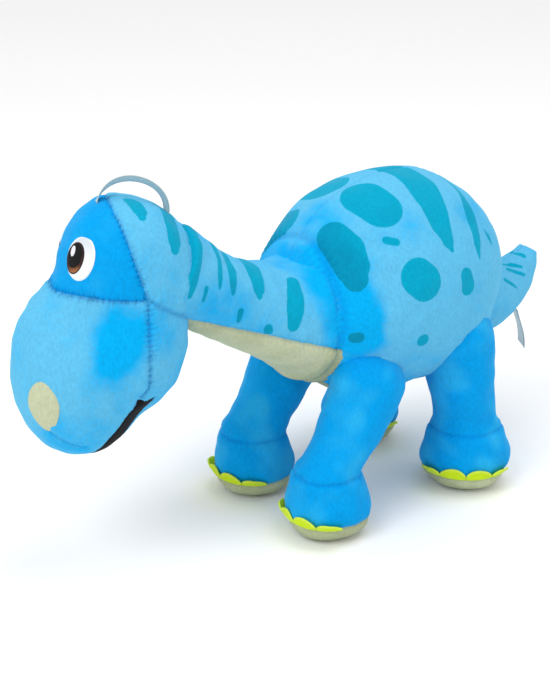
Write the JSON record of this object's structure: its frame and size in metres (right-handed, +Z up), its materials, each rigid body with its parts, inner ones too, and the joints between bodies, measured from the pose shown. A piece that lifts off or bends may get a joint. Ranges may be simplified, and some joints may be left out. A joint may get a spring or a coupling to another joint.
{
  "type": "stuffed dinosaur",
  "caption": "Plush long-necked dinosaur with a sewn printed cover over stuffing, standing on four boots, with a bending neck, nodding head, swinging legs and wagging tail.",
  "frame": {"origin": "on the floor, under the middle of the bounding box", "axes": "+Z up, head towards -Y, the animal's left side towards +X"},
  "size_m": [0.186, 0.479, 0.2806],
  "materials": {
    "printed_plush": "short light-blue pile printed with teal spots and stripes",
    "deep_blue_plush": "short saturated blue pile",
    "cream_fleece": "cream short-pile fleece",
    "lime_felt": "matt lime-green craft felt",
    "mouth_cloth": "matt black cloth",
    "eye_embroidery": "satin-stitch embroidery in white, brown and black thread",
    "satin_ribbon": "thin pale satin ribbon",
    "stuffing": "white polyester fibre fill"
  },
  "bodies": {
    "root": {"torso_left_panel": "printed_plush", "torso_right_panel": "printed_plush", "belly_panel": "cream_fleece", "torso_stuffing": "stuffing"},
    "neck": {"neck_left_panel": "printed_plush", "neck_right_panel": "printed_plush", "throat_panel": "cream_fleece", "neck_stuffing": "stuffing"},
    "head": {"brow_left_panel": "deep_blue_plush", "brow_right_panel": "deep_blue_plush", "nape_left_panel": "printed_plush", "nape_right_panel": "printed_plush", "snout_left_panel": "printed_plush", "snout_right_panel": "printed_plush", "jaw_left_panel": "printed_plush", "jaw_right_panel": "printed_plush", "left_eye": "eye_embroidery", "right_eye": "eye_embroidery", "left_nostril": "cream_fleece", "right_nostril": "cream_fleece", "mouth_strip": "mouth_cloth", "head_stuffing": "stuffing"},
    "hang_loop": {"hang_loop": "satin_ribbon"},
    "tail": {"tail_left_panel": "printed_plush", "tail_right_panel": "printed_plush", "tail_stuffing": "stuffing"},
    "care_label": {"care_label": "satin_ribbon"},
    "left_front_leg": {"left_front_leg_sleeve": "deep_blue_plush", "left_front_boot": "deep_blue_plush", "left_front_sole": "cream_fleece", "left_front_toe_felt": "lime_felt", "left_front_leg_stuffing": "stuffing"},
    "right_front_leg": {"right_front_leg_sleeve": "deep_blue_plush", "right_front_boot": "deep_blue_plush", "right_front_sole": "cream_fleece", "right_front_toe_felt": "lime_felt", "right_front_leg_stuffing": "stuffing"},
    "left_rear_leg": {"left_rear_leg_sleeve": "deep_blue_plush", "left_rear_boot": "deep_blue_plush", "left_rear_sole": "cream_fleece", "left_rear_toe_felt": "lime_felt", "left_rear_leg_stuffing": "stuffing"},
    "right_rear_leg": {"right_rear_leg_sleeve": "deep_blue_plush", "right_rear_boot": "deep_blue_plush", "right_rear_sole": "cream_fleece", "right_rear_toe_felt": "lime_felt", "right_rear_leg_stuffing": "stuffing"}
  },
  "joints": [
    {"name": "neck_bend", "type": "hinge", "parent": "root", "child": "neck", "pos_m": [-0.00151, -0.02099, 0.156], "axis": [1, 0, 0], "range_deg": [-9, 9], "stiffness_Nm_per_rad": 2, "springref_deg": -2.86},
    {"name": "head_nod", "type": "hinge", "parent": "neck", "child": "head", "pos_m": [-0.00151, -0.13899, 0.218], "axis": [0.9063, -0.4226, 0], "range_deg": [-10, 10], "stiffness_Nm_per_rad": 1, "springref_deg": -1.15},
    {"name": "loop_flop", "type": "hinge", "parent": "head", "child": "hang_loop", "pos_m": [-0.01968, -0.17796, 0.2675], "axis": [0.3968, 0.8509, -0.3443], "range_deg": [-22, 22], "stiffness_Nm_per_rad": 0.01},
    {"name": "tail_wag", "type": "hinge", "parent": "root", "child": "tail", "pos_m": [-0.00151, 0.15901, 0.124], "axis": [0, 0, 1], "range_deg": [-15, 15], "stiffness_Nm_per_rad": 0.5},
    {"name": "label_flop", "type": "hinge", "parent": "tail", "child": "care_label", "pos_m": [0.00449, 0.21301, 0.101], "axis": [0.8387, -0.5446, 0], "range_deg": [-25, 25], "stiffness_Nm_per_rad": 0.004},
    {"name": "left_front_leg_swing", "type": "hinge", "parent": "root", "child": "left_front_leg", "pos_m": [0.04649, 0.00501, 0.104], "axis": [1, 0, 0], "range_deg": [-12, 12], "stiffness_Nm_per_rad": 3},
    {"name": "right_front_leg_swing", "type": "hinge", "parent": "root", "child": "right_front_leg", "pos_m": [-0.04351, 0.00701, 0.104], "axis": [1, 0, 0], "range_deg": [-12, 12], "stiffness_Nm_per_rad": 3},
    {"name": "left_rear_leg_swing", "type": "hinge", "parent": "root", "child": "left_rear_leg", "pos_m": [0.05249, 0.09701, 0.118], "axis": [1, 0, 0], "range_deg": [-12, 12], "stiffness_Nm_per_rad": 3},
    {"name": "right_rear_leg_swing", "type": "hinge", "parent": "root", "child": "right_rear_leg", "pos_m": [-0.05551, 0.09701, 0.118], "axis": [1, 0, 0], "range_deg": [-12, 12], "stiffness_Nm_per_rad": 3}
  ]
}
